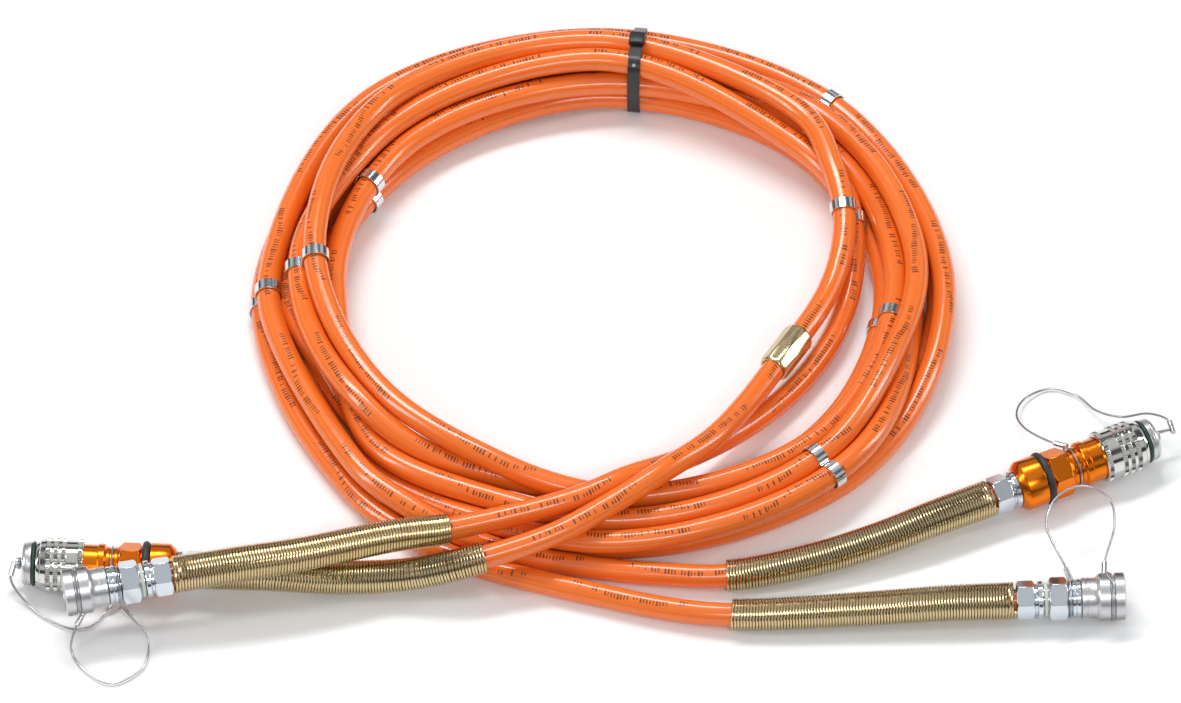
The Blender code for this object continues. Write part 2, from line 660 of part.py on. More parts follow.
def nipple(side, coupling):
    """The male half, under its dust cap."""
    frame = place(coupling)
    back = ferrule(side, frame)
    nut = back - COLLAR_LENGTH + NECK_LENGTH
    collar = nut + NUT_LENGTH
    groove = collar + MM
    front = collar + NIPPLE_COLLAR
    tip = front + PROBE_LENGTH
    seat = tip - VALVE_LIP
    chamber = seat - VALVE_LENGTH - VALVE_SPRING_LENGTH - 3 * GAP
    turned(side + "_nipple",
           [(back, NECK_OD), (nut, NECK_OD), (nut, NUT_FLATS, True), (collar, NUT_FLATS, True),
            (collar, NIPPLE_GROOVE_OD), (groove + MM, NIPPLE_GROOVE_OD), (groove + MM, NIPPLE_COLLAR_OD),
            (front, NIPPLE_COLLAR_OD), (front, PROBE_OD), (tip, PROBE_OD)],
           "zinc", frame,
           [(tip, BORE), (seat, BORE), (seat, VALVE_BORE), (chamber, VALVE_BORE), (chamber, BORE - MM),
            (back, BORE - MM)])
    pipe(side + "_seal_ring", back + GAP, nut - GAP, SEAL_RING_OD, NECK_OD + 2 * GAP, "seal", frame)
    valve(side, seat, frame)
    cap = front + GAP
    head = cap + CAP_RIBBED
    wire = head + (CAP_LENGTH - CAP_RIBBED) / 2
    end = cap + CAP_LENGTH
    inside = PROBE_OD + 4 * GAP
    turned(side + "_cap",
           [(cap, CAP_RIBBED_OD), (head, CAP_RIBBED_OD), (head, CAP_HEAD_OD),
            (wire - CAP_GROOVE / 2, CAP_HEAD_OD), (wire - CAP_GROOVE / 2, CAP_GROOVE_OD),
            (wire + CAP_GROOVE / 2, CAP_GROOVE_OD), (wire + CAP_GROOVE / 2, CAP_HEAD_OD),
            (end - MM, CAP_HEAD_OD), (end, CAP_HEAD_OD - 3 * MM), (end, 1 * MM),
            (tip + 3 * GAP, 1 * MM)],
           "aluminium", frame, [(tip + 3 * GAP, inside), (cap, inside)])


def tether(side):
    """A wire rope tether, a little thicker where it is crimped at each end."""
    path = smooth_path(TETHERS[side], 3 * TETHER_OD)
    along = np.concatenate([[0], np.cumsum(np.linalg.norm(np.diff(path, axis=0), axis=1))])
    from_end = np.minimum(along, along[-1] - along)
    swell = [CRIMP_OD / TETHER_OD if mark < CRIMP_LENGTH else 1 for mark in from_end]
    tube(side + "_tether", path, TETHER_OD, "steel", 2, swell)


def build():
    clear_scene()
    path_a, path_b = hose_paths()
    ring = coil()
    for name, path, from_start, coupling in (
            ("hose_a_start", path_a, True, "left_coupler"), ("hose_b_start", path_b, True, "left_nipple"),
            ("hose_a_finish", path_a, False, "right_nipple"),
            ("hose_b_finish", path_b, False, "right_coupler")):
        line, channel = free_end(name, path, from_start)
        cut(ring, channel)
        guard(coupling + "_guard", line)
    for count, angle in enumerate(CLIP_ANGLES, 1):
        frame = clip_frame((path_a, path_b), angle)
        clip(f"clip_{count}", frame)
        cut(ring, clip_pocket(f"clip_{count}_pocket", frame))
    marker(path_a)
    tie()
    coupler("left_coupler", LEFT_COUPLER)
    nipple("left_nipple", LEFT_NIPPLE)
    coupler("right_coupler", RIGHT_COUPLER)
    nipple("right_nipple", RIGHT_NIPPLE)
    for side in TETHERS:
        tether(side)
    for thing in bpy.data.objects:
        thing.location -= Vector(MIDDLE)


build()
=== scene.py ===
"""The twin hydraulic hose as it looks: two orange hoses clipped in pairs, with couplers and nipples."""

import math

import bmesh
import bpy
import numpy as np
from mathutils import Matrix, Vector


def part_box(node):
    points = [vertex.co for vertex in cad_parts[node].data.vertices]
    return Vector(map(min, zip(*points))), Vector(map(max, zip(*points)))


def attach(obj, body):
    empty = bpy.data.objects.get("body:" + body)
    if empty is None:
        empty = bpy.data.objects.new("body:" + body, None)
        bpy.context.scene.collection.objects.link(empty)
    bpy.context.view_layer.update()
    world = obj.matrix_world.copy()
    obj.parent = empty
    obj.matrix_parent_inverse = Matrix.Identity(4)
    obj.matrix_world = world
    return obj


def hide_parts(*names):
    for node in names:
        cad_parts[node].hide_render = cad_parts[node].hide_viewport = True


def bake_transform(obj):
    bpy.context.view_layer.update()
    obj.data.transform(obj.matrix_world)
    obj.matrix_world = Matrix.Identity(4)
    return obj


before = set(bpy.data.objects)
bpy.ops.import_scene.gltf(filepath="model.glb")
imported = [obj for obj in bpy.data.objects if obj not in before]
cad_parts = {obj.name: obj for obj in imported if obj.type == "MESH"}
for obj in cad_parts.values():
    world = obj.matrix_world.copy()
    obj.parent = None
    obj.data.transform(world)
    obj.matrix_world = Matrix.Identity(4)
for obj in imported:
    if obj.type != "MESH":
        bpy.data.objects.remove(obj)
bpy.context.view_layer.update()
MM = 0.001

# ---- Camera, light and floor ------------------------------------------------------------------
# A long lens looks down at the hose from the front. A large soft box hangs above it, a narrow one
# stands on each side so that bright metal has edges to mirror, and the floor is a plain white sheet.

CAMERA_TARGET = Vector((-1.5 * MM, 13.1 * MM, 0))
CAMERA_RISE = math.radians(48)
CAMERA_DISTANCE = 12.0
camera_data = bpy.data.cameras.new("camera")
camera_data.lens = 637.2
camera_data.clip_end = 100
camera = bpy.data.objects.new("camera", camera_data)
bpy.context.scene.collection.objects.link(camera)
away = Vector((0, -math.cos(CAMERA_RISE), math.sin(CAMERA_RISE)))
camera.location = CAMERA_TARGET + CAMERA_DISTANCE * away
camera.rotation_euler = (math.pi / 2 - CAMERA_RISE, 0, 0)
bpy.context.scene.camera = camera
bpy.context.scene.view_settings.view_transform = "Standard"


def soft_box(name, place, size, power):
    light = bpy.data.lights.new(name, "AREA")
    light.shape = "RECTANGLE"
    light.size, light.size_y = size
    light.energy = power
    box = bpy.data.objects.new(name, light)
    bpy.context.scene.collection.objects.link(box)
    box.location = place
    box.rotation_euler = (-Vector(place)).to_track_quat("-Z", "Y").to_euler()


soft_box("overhead_light", (-0.4, 0.9, 2.1), (1.6, 0.35), 32)
soft_box("left_light", (-2.2, -0.6, 1.2), (0.3, 1.5), 16)
soft_box("right_light", (2.2, 0.3, 1.0), (0.3, 1.3), 13)
soft_box("front_light", (0.3, -2.0, 2.0), (1.6, 0.3), 21)


def node(tree, kind, inputs=(), **settings):
    made = tree.nodes.new(kind)
    for key, value in settings.items():
        setattr(made, key, value)
    for key, value in dict(inputs).items():
        if isinstance(value, bpy.types.NodeSocket):
            tree.links.new(value, made.inputs[key])
        else:
            made.inputs[key].default_value = value
    return made


def new_material(name, roughness, metallic=0.0):
    made = bpy.data.materials.new(name)
    made.use_nodes = True
    shader = made.node_tree.nodes["Principled BSDF"]
    shader.inputs["Roughness"].default_value = roughness
    shader.inputs["Metallic"].default_value = metallic
    return made, made.node_tree, shader


def two_tone(tree, where, colours, scale, detail=3.0):
    """A slow blend of two colours, by noise at a scale per metre."""
    noise = node(tree, "ShaderNodeTexNoise", {"Vector": where, "Scale": scale, "Detail": detail})
    mix = node(tree, "ShaderNodeMix", {0: noise.outputs["Fac"], 6: (*colours[0], 1), 7: (*colours[1], 1)},
               data_type="RGBA")
    return mix.outputs[2], noise.outputs["Fac"]


world = bpy.data.worlds.new("studio")
world.use_nodes = True
bpy.context.scene.world = world

# The studio's grey walls and white ceiling, as (height from -1 to 1, brightness)
WALLS = ((0.0, 0.05), (0.24, 0.06), (0.33, 0.85), (0.56, 0.85), (0.64, 0.12), (0.82, 0.12), (0.9, 0.9))
height = node(world.node_tree, "ShaderNodeSeparateXYZ",
              {0: node(world.node_tree, "ShaderNodeTexCoord").outputs["Generated"]}).outputs[2]
walls = node(world.node_tree, "ShaderNodeValToRGB", {0: height})
while len(walls.color_ramp.elements) < len(WALLS):
    walls.color_ramp.elements.new(1.0)
for stop, (level, grey) in zip(walls.color_ramp.elements, WALLS):
    stop.position = level
    stop.color = (grey * 0.95, grey * 0.98, grey, 1)
background = world.node_tree.nodes["Background"]
world.node_tree.links.new(walls.outputs[0], background.inputs["Color"])
background.inputs["Strength"].default_value = 0.72

FLOOR_SIZE = 12.0
floor_mesh = bmesh.new()
bmesh.ops.create_grid(floor_mesh, size=FLOOR_SIZE / 2)
floor_data = bpy.data.meshes.new("floor")
floor_mesh.to_mesh(floor_data)
floor = bpy.data.objects.new("floor", floor_data)
bpy.context.scene.collection.objects.link(floor)
floor_paint, tree, shader = new_material("white_floor", 0.75)
place = node(tree, "ShaderNodeTexCoord").outputs["Object"]
colour, _ = two_tone(tree, place, ((0.90, 0.90, 0.90), (0.93, 0.93, 0.93)), 3)
tree.links.new(colour, shader.inputs["Base Color"])
floor_data.materials.append(floor_paint)

# ---- Two hoses --------------------------------------------------------------------------------
# Thermoplastic hydraulic hose, extruded in glossy orange and printed along its length. The pair is
# laid in four turns, each hose a diameter from its neighbours and on the floor or on the turn below.

HOSE_OD = 13.5 * MM
HOSE_APART = HOSE_OD + 0.35 * MM
HOSE_SIDES = 24
PATH_STEP = 11 * MM
MESH_STEP = 4 * MM
STRAIGHT_OUT = (14, 40)
CLIP_PITCH = HOSE_OD + 1.5 * MM
CLIP_HEIGHT = 9 * MM
CLIP_ANGLES = (18, 181, 350, 512, 671, 824, 1126, 1264)
MIDDLE = Vector((-6.22 * MM, -49.82 * MM, -0.06 * MM))   # the routes' grid, from its own middle

# Where the couplings start, in millimetres, their heading in degrees from +X, and their climb
COUPLINGS = {
    "left_coupler": ((-227, -218, 15.5), 177, 0),
    "left_nipple": ((-245, -237, 33), 189.5, -3.5),
    "right_coupler": ((220.5, -162.5, 15.5), 26, 0),
    "right_nipple": ((233.5, -239, 13.6), 3, 0),
}

# A turn gives the distance from the middle and the height at each eighth, in millimetres
TURNS_A = [
    [(161, 38), (170, 37), (173.5, 38), (168, 37), (165, 27), (166, 20), (172, 20), (166.5, 20.5)],
    [(163, 22), (152, 24), (156, 22), (161, 19.5), (185, 20), (186.5, 20), (187, 22), (180.5, 24)],
    [(174.5, 25), (167, 22.3), (170, 20), (175, 14), (162, 7), (174, 7), (180, 7), (191.5, 7)],
    [(187, 7), (180, 12), (188, 10), (193.3, 7), (200.5, 7)],
]
TURNS_B = [
    [(152, 27), (158, 36), (166, 27), (174.5, 26), (173.5, 19), (158, 7.5), (164, 7.5), (163, 7)],
    [(160, 8), (155, 10), (151, 10), (166.5, 7), (188.5, 7), (202, 19.5), (199.5, 20), (177.5, 7.5)],
    [(173.5, 8), (168, 7), (166, 8), (180, 7), (175, 7), (193, 7), (196.5, 7.5), (192.5, 20)],
    [(186.5, 20), (182, 27), (192, 25), (186.5, 20), (198.5, 20)],
]
START_A = [(-150, -220.5, 12.5), (-112, -221.5, 16), (-75, -219, 25), (-28, -204, 32), (1, -186, 36),
           (32, -162, 38), (60, -133, 32), (80, -101, 25), (101, -63, 22), (121, -28, 22),
           (131, -5, 23), (137, 18, 27), (138, 46, 31), (132, 73, 35)]
START_B = [(-174, -224, 35.5), (-120, -209, 35), (-83, -199.5, 31.5), (-16, -182, 34), (14, -166, 33),
           (47, -140, 22), (84, -103, 11), (112, -69, 8), (131, -37, 9), (141, -9, 10),
           (146, 16, 13), (148, 41, 17), (143, 72, 22)]
FINISH_A = [(-103, -180, 7), (-66, -202, 7), (-30, -217, 7), (1, -228, 7), (32, -238, 7.5),
            (70, -245.5, 9), (143, -243.8, 11.5)]
FINISH_B = [(-112, -168, 17), (-80, -185, 11), (-45, -197, 8), (1, -208, 7), (32, -213, 7.5),
            (71, -216, 9), (121, -205, 11), (160, -191, 13.5)]


def coil_points(turns):
    points = []
    for turn in turns:
        for eighth, (radius, height) in enumerate(turn):
            angle = math.radians(45 * (eighth + 1))
            points.append((radius * math.cos(angle), radius * math.sin(angle), height))
    return points


def heading(coupling):
    _, direction, climb = COUPLINGS[coupling]
    turn, rise = math.radians(direction), math.radians(climb)
    return Vector((math.cos(turn) * math.cos(rise), math.sin(turn) * math.cos(rise), math.sin(rise)))


def hose_end(coupling):
    start = Vector(COUPLINGS[coupling][0])
    return [tuple(start - heading(coupling) * step) for step in (0, *STRAIGHT_OUT)]


def resample(path, step):
    along = np.concatenate([[0], np.cumsum(np.linalg.norm(np.diff(path, axis=0), axis=1))])
    marks = np.linspace(0, along[-1], max(2, round(along[-1] / step)) + 1)
    return np.stack([np.interp(marks, along, path[:, k]) for k in range(3)], 1)


def smooth_path(points, step):
    """Evenly spaced points along a smooth curve through the given ones, in metres."""
    p = np.array(points, float)
    p = np.vstack([2 * p[0] - p[1], p, 2 * p[-1] - p[-2]])
    pieces = []
    for before, start, end, after in zip(p, p[1:], p[2:], p[3:]):
        knots = np.cumsum([0] + [np.linalg.norm(b - a) ** 0.5 for a, b in
                                 ((before, start), (start, end), (end, after))])
        t = np.linspace(knots[1], knots[2], 24, endpoint=False)[:, None]

        def mix(a, b, low, high):
            return ((high - t) * a + (t - low) * b) / (high - low)

        one = mix(before, start, knots[0], knots[1])
        two = mix(start, end, knots[1], knots[2])
        three = mix(end, after, knots[2], knots[3])
        pieces.append(mix(mix(one, two, knots[0], knots[2]), mix(two, three, knots[1], knots[3]),
                          knots[1], knots[2]))
    return resample(np.vstack(pieces + [p[-2][None]]), step)


def turned_through(path):
    """How far round the coil each point is, in degrees."""
    return np.degrees(np.unwrap(np.arctan2(path[:, 1], path[:, 0])))


def clip_marks(paths):
    return [np.array([abs(turned_through(path) - angle).argmin() for angle in CLIP_ANGLES])
            for path in paths]


def settle(paths, rounds=240, pinned=15):
    """Moves hoses apart until they lie a diameter from each other, on the floor or above it."""
    sizes = [len(path) for path in paths]
    home = np.vstack(paths)
    hose = np.repeat(np.arange(len(paths)), sizes)
    index = np.concatenate([np.arange(size) for size in sizes])
    links = np.array([i for i in range(len(home) - 1) if hose[i] == hose[i + 1]])
    own = (hose[:, None] == hose[links]) & (abs(index[:, None] - index[links] - 0.5) < 4)
    last = np.array(sizes)[hose] - 1
    held = (index < pinned) | (index > last - pinned)
    inner = (index > 0) & (index < last)
    first, second = (np.concatenate([marks - 1, marks, marks + 1]) for marks in clip_marks(paths))
    second = second + sizes[0]
    points = home.copy()
    for count in range(rounds):
        if count % 10 == 0:
            gaps = np.linalg.norm(points[:, None] - points[links] / 2 - points[links + 1] / 2, axis=2)
            near, link = np.nonzero((gaps < 2 * HOSE_OD) & ~own)
        start = points[links[link]]
        run = points[links[link] + 1] - start
        offset = points[near] - start
        share = np.clip((offset * run).sum(1) / (run * run).sum(1), 0, 1)[:, None]
        apart = offset - share * run
        length = np.maximum(np.linalg.norm(apart, axis=1), 1e-6)[:, None]
        push = apart / length * np.maximum(HOSE_APART - length, 0) * 0.25
        move = np.zeros_like(points)
        np.add.at(move, near, push)
        np.add.at(move, links[link], -push * (1 - share))
        np.add.at(move, links[link] + 1, -push * share)
        move[held] = 0
        points += move
        across = points[first] - points[second]
        length = np.linalg.norm(across, axis=1)[:, None]
        points[first] += across / length * (CLIP_PITCH - length) / 2
        points[second] -= across / length * (CLIP_PITCH - length) / 2
        if count < rounds - 60:
            points += 0.02 * (home - points)
        shift = points - home
        middle = np.nonzero(inner & ~held)[0]
        shift[middle] += 0.25 * (shift[middle - 1] + shift[middle + 1] - 2 * shift[middle])
        points = home + shift
        points[:, 2] = np.maximum(points[:, 2], HOSE_OD / 2)
        for marks in (first, second):
            points[marks, 2] = np.maximum(points[marks, 2], CLIP_HEIGHT)
    return np.split(points, np.cumsum(sizes)[:-1])


def route(start, opening, turns, closing, finish):
    points = hose_end(start) + opening + coil_points(turns) + closing + hose_end(finish)[::-1]
    return smooth_path(np.array(points) * MM, PATH_STEP)


laid = settle([route("left_coupler", START_A, TURNS_A, FINISH_A, "right_nipple"),
               route("left_nipple", START_B, TURNS_B, FINISH_B, "right_coupler")])
path_a, path_b = (smooth_path(path - np.array(MIDDLE), MESH_STEP) for path in laid)


def tube(name, path, radius, sides, material, body="hoses"):
    """A round tube along a path. Its UV map holds the metres along it and the turn round it."""
    points = [Vector(point) for point in path]
    runs = [(after - before).normalized() for before, after in
            zip([points[0]] + points[:-1], points[1:] + [points[-1]])]
    side = runs[0].cross(Vector((0, 0, 1)))
    rings, marks, along = [], [], 0.0
    work = bmesh.new()
    lay = work.loops.layers.uv.new("lay")
    for k, (point, run) in enumerate(zip(points, runs)):
        side = (side - side.dot(run) * run).normalized()
        up = side.cross(run)
        if k:
            along += (point - points[k - 1]).length
        marks.append(along)
        turns = (2 * math.pi * n / sides for n in range(sides))
        rings.append([work.verts.new(point + radius * (side * math.cos(a) + up * math.sin(a)))
                      for a in turns])
    for k, (one, two) in enumerate(zip(rings, rings[1:])):
        for n in range(sides):
            other = (n + 1) % sides
            face = work.faces.new((one[n], two[n], two[other], one[other]))
            spots = ((k, n), (k + 1, n), (k + 1, n + 1), (k, n + 1))
            for loop, (ring, corner) in zip(face.loops, spots):
                loop[lay].uv = (marks[ring], corner / sides)
    work.faces.new(rings[0])
    work.faces.new(rings[-1])
    bmesh.ops.recalc_face_normals(work, faces=work.faces)
    return finished(name, work, material, body)


def finished(name, work, material, body="hoses", sharp=35):
    mesh = bpy.data.meshes.new(name)
    work.to_mesh(mesh)
    work.free()
    mesh.polygons.foreach_set("use_smooth", [True] * len(mesh.polygons))
    mesh.set_sharp_from_angle(angle=math.radians(sharp))
    mesh.materials.append(material)
    made = bpy.data.objects.new(name, mesh)
    bpy.context.scene.collection.objects.link(made)
    if body:
        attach(made, body)
    return made


def arithmetic(tree, operation, *values, clamp=False):
    inputs = dict(enumerate(values))
    made = node(tree, "ShaderNodeMath", inputs, operation=operation, use_clamp=clamp)
    return made.outputs[0]


def printed_marks(tree, lay):
    """Short upright strokes in groups along the hose, in place of lettering: 1 where printed."""
    stroke_pitch, group_pitch = 1.9 * MM, 95 * MM
    parts = node(tree, "ShaderNodeSeparateXYZ", {0: lay})
    along, turn = parts.outputs[0], parts.outputs[1]
    cell = arithmetic(tree, "DIVIDE", along, stroke_pitch)
    which = arithmetic(tree, "FLOOR", cell)
    within = arithmetic(tree, "FRACT", cell)
    chance = node(tree, "ShaderNodeTexWhiteNoise", {"W": which}, noise_dimensions="1D").outputs["Value"]
    second = node(tree, "ShaderNodeTexWhiteNoise", {"W": arithmetic(tree, "ADD", which, 0.37)},
                  noise_dimensions="1D").outputs["Value"]
    width = arithmetic(tree, "MULTIPLY_ADD", second, 0.3, 0.3)
    stroke = arithmetic(tree, "LESS_THAN", within, width)
    present = arithmetic(tree, "GREATER_THAN", chance, 0.24)
    wander = node(tree, "ShaderNodeTexNoise", {"W": arithmetic(tree, "MULTIPLY", along, 3.0)},
                  noise_dimensions="1D").outputs["Fac"]
    line = arithmetic(tree, "MULTIPLY_ADD", wander, 0.34, 0.02)
    off = arithmetic(tree, "ABSOLUTE", arithmetic(tree, "SUBTRACT", turn, line))
    height = arithmetic(tree, "MULTIPLY_ADD", second, 0.016, 0.026)
    tall = arithmetic(tree, "LESS_THAN", off, height)
    ink = arithmetic(tree, "MULTIPLY", stroke, tall)
    group = arithmetic(tree, "FRACT", arithmetic(tree, "DIVIDE", along, group_pitch))
    grouped = arithmetic(tree, "LESS_THAN", group, 0.72)
    return arithmetic(tree, "MULTIPLY", arithmetic(tree, "MULTIPLY", ink, present), grouped)


HOSE_ORANGES = ((0.82, 0.155, 0.016), (0.87, 0.18, 0.021))
INK = (0.10, 0.028, 0.012, 1)
orange_hose, tree, shader = new_material("orange_hose", 0.27)
place = node(tree, "ShaderNodeTexCoord").outputs["Object"]
lay = node(tree, "ShaderNodeUVMap", uv_map="lay").outputs["UV"]
orange, patches = two_tone(tree, place, HOSE_ORANGES, 22)
printed = arithmetic(tree, "MULTIPLY", printed_marks(tree, lay), 0.88)
inked = node(tree, "ShaderNodeMix", {0: printed, 6: orange, 7: INK}, data_type="RGBA")
tree.links.new(inked.outputs[2], shader.inputs["Base Color"])
scuffs = node(tree, "ShaderNodeTexNoise", {"Vector": place, "Scale": 180.0, "Detail": 6.0}).outputs["Fac"]
tree.links.new(arithmetic(tree, "MULTIPLY_ADD", scuffs, 0.10, 0.19), shader.inputs["Roughness"])
pull = node(tree, "ShaderNodeMapping", {"Vector": lay, "Scale": (60, 14, 1)}).outputs[0]
ripple = node(tree, "ShaderNodeTexNoise", {"Vector": pull, "Scale": 1.0, "Detail": 2.0}).outputs["Fac"]
bump = node(tree, "ShaderNodeBump", {"Height": ripple, "Strength": 0.02, "Distance": 0.05 * MM})
tree.links.new(bump.outputs[0], shader.inputs["Normal"])
shader.inputs["Coat Weight"].default_value = 0.35
shader.inputs["Coat Roughness"].default_value = 0.12

hose_a = tube("hose_a", path_a, HOSE_OD / 2, HOSE_SIDES, orange_hose)
hose_b = tube("hose_b", path_b, HOSE_OD / 2, HOSE_SIDES, orange_hose)
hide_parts("hose_coil", "hose_a_start", "hose_a_finish")
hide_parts("hose_b_start", "hose_b_finish")

# ---- Spring guards ----------------------------------------------------------------------------
# Close-wound spring steel wire over the last stretch of each hose, plated yellow zinc. The turns
# widen towards the coupling, where they butt against the ferrule, and stop the hose from kinking.

GUARD_LENGTH = 162 * MM
GUARD_WIRE = 1.65 * MM
GUARD_PITCH = 1.72 * MM
GUARD_CLEARANCE = 0.75 * MM
GUARD_FLARE = 1.7 * MM
GUARD_CORNERS = 22
LATHE_STRETCH = (1, 0.03, 0.03)


def plated(name, colours, roughness, scale, grain, metallic=1.0, wear=0.12, turned_in=None):
    """Plated or bare metal: two tones in slow patches, and a fine grain in its shine and surface.
    The grain of a piece turned in a lathe runs round its coupling's axis."""
    made, tree, shader = new_material(name, roughness, metallic)
    place = node(tree, "ShaderNodeTexCoord").outputs["Object"]
    colour, _ = two_tone(tree, place, colours, scale)
    tree.links.new(colour, shader.inputs["Base Color"])
    if turned_in:
        _, direction, climb = COUPLINGS[turned_in]
        turn = (0, math.radians(-climb), math.radians(direction))
        place = node(tree, "ShaderNodeMapping", {"Vector": place, "Rotation": turn},
                     vector_type="TEXTURE").outputs[0]
        place = node(tree, "ShaderNodeMapping", {"Vector": place, "Scale": LATHE_STRETCH}).outputs[0]
    fine = node(tree, "ShaderNodeTexNoise", {"Vector": place, "Scale": grain, "Detail": 5.0})
    shine = arithmetic(tree, "MULTIPLY_ADD", fine.outputs["Fac"], wear, roughness - wear / 2)
    tree.links.new(shine, shader.inputs["Roughness"])
    bump = node(tree, "ShaderNodeBump", {"Height": fine.outputs["Fac"], "Strength": 0.06,
                                         "Distance": 0.02 * MM})
    tree.links.new(bump.outputs[0], shader.inputs["Normal"])
    return made


yellow_zinc = plated("yellow_zinc", ((0.58, 0.50, 0.24), (0.70, 0.53, 0.36)), 0.22, 90, 900)


def helix(path, length):
    """A close-wound wire's line round a hose path, from its start."""
    along = np.concatenate([[0], np.cumsum(np.linalg.norm(np.diff(path, axis=0), axis=1))])
    count = round(length / GUARD_PITCH * GUARD_CORNERS)
    marks = np.linspace(GUARD_WIRE / 2, length - GUARD_WIRE / 2, count)
    line = np.stack([np.interp(marks, along, path[:, k]) for k in range(3)], 1)
    run = np.gradient(line, axis=0)
    run /= np.linalg.norm(run, axis=1)[:, None]
    side = np.cross(run, (0, 0, 1))
    side /= np.linalg.norm(side, axis=1)[:, None]
    up = np.cross(side, run)
    turn = (2 * math.pi * marks / GUARD_PITCH)[:, None]
    flare = GUARD_FLARE * (1 - marks / length)[:, None]
    reach = HOSE_OD / 2 + GUARD_CLEARANCE + GUARD_WIRE / 2 + flare
    return line + reach * (side * np.cos(turn) + up * np.sin(turn))


for side, path in (("left_coupler", path_a), ("left_nipple", path_b),
                   ("right_nipple", path_a[::-1]), ("right_coupler", path_b[::-1])):
    guard = tube(f"{side}_guard_spring", helix(path, GUARD_LENGTH), GUARD_WIRE / 2, 8, yellow_zinc)
    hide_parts(f"{side}_guard")

# ---- Ferrules ---------------------------------------------------------------------------------
# Turned from steel bar and plated in bright blue zinc: a hexagon for the spanner, a short neck and
# a collar. The hose is crimped inside.

FERRULE_FLATS = 19.5
TURN_STEPS = 72
bright_zinc = {side: plated(f"bright_zinc_{side}", ((0.60, 0.66, 0.74), (0.74, 0.77, 0.80)), 0.17, 60,
                            900, turned_in=side) for side in COUPLINGS}


def seat(coupling):
    """The coupling's own frame: +X runs from the hose end to the tip."""
    start, direction, climb = COUPLINGS[coupling]
    turn = Matrix.Rotation(math.radians(direction), 4, "Z")
    rise = Matrix.Rotation(math.radians(-climb), 4, "Y")
    return Matrix.Translation(Vector(start) * MM - MIDDLE) @ turn @ rise


def turned(outline, steps=TURN_STEPS, closed=True):
    """Spins an outline of (distance, radius) points, in millimetres, round the X axis."""
    work = bmesh.new()
    corners = [work.verts.new((along * MM, 0, radius * MM)) for along, radius in outline]
    following = corners[1:] + corners[:1] if closed else corners[1:]
    edges = [work.edges.new(pair) for pair in zip(corners, following)]
    bmesh.ops.spin(work, geom=corners + edges, cent=(0, 0, 0), axis=(1, 0, 0), dvec=(0, 0, 0),
                   angle=2 * math.pi, steps=steps, use_merge=True)
    bmesh.ops.remove_doubles(work, verts=work.verts, dist=0.001 * MM)
    bmesh.ops.recalc_face_normals(work, faces=work.faces)
    return work


def mill(work, low, high, flats, sides=6):
    """Cuts flats so far apart, in millimetres, between two distances along a turned piece."""
    for corner in work.verts:
        if low <= corner.co.x / MM <= high:
            turn = math.atan2(corner.co.z, corner.co.y)
            facing = round(turn * sides / (2 * math.pi)) * 2 * math.pi / sides
            allowed = flats / 2 * MM / math.cos(turn - facing)
            reach = math.hypot(corner.co.y, corner.co.z)
            if reach > allowed:
                corner.co.yz = corner.co.yz * (allowed / reach)


def hexagon(low, high, flats):
    """The outline of a bar end that a hexagon is milled in, with its corners chamfered."""
    corner = flats / 2 / math.cos(math.pi / 6)
    inset = flats / 2 - 0.25
    cut = (corner - inset) * 0.7
    rise = [(low + cut * part, inset + (corner - inset) * part) for part in (0, 0.25, 0.5, 0.75, 1)]
    fall = [(high - (along - low), radius) for along, radius in rise[::-1]]
    return rise + fall


def piece(name, work, coupling, material, body="hoses", replaced=(), ease=0.0):
    """Puts a turned piece in its coupling, with its edges eased by so many millimetres."""
    work.transform(seat(coupling))
    made = finished(name, work, material, body)
    if ease:
        bevel = made.modifiers.new("ease", "BEVEL")
        bevel.width = ease * MM
        bevel.segments = 2
        bevel.limit_method = "ANGLE"
        bevel.angle_limit = math.radians(38)
    if replaced:
        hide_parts(*replaced)
    return made


for side in COUPLINGS:
    ferrule = turned(hexagon(0, 10.7, FERRULE_FLATS) + [
        (10.7, 9.2), (11.9, 9.2), (12.3, 10.4), (12.7, 10.7), (14.9, 10.7), (15.3, 10.4),
        (15.3, 3), (0, 3)])
    mill(ferrule, -0.1, 10.6, FERRULE_FLATS)
    piece(f"{side}_crimped_ferrule", ferrule, side, bright_zinc[side],
          replaced=[f"{side}_ferrule"], ease=0.15)

# ---- Coupler bodies and bumpers ---------------------------------------------------------------
# The female half's body is turned from aluminium, milled for a spanner and anodised orange. A black
# rubber bumper sits in a groove round it, and the locking sleeve slides on its front end.

COUPLERS = ("left_coupler", "right_coupler")
NIPPLES = ("left_nipple", "right_nipple")
BODY_FLATS = 25
anodised = {side: plated(f"orange_anodised_{side}", ((0.80, 0.17, 0.008), (0.90, 0.23, 0.015)), 0.24,
                         40, 1200, turned_in=side) for side in COUPLERS}
black_rubber = plated("black_rubber", ((0.018, 0.018, 0.02), (0.03, 0.03, 0.034)), 0.5, 120, 1500, 0)


def rounded(low, high, inner, outer, points=9):
    """The outline of a ring with a round outside."""
    middle, half, rise = (low + high) / 2, (high - low) / 2, min(outer - inner, (high - low) / 2)
    arc = [(middle - half * math.cos(math.pi * k / (points - 1)),
            outer - rise + rise * math.sin(math.pi * k / (points - 1))) for k in range(points)]
    return arc + [(high, inner), (low, inner)]


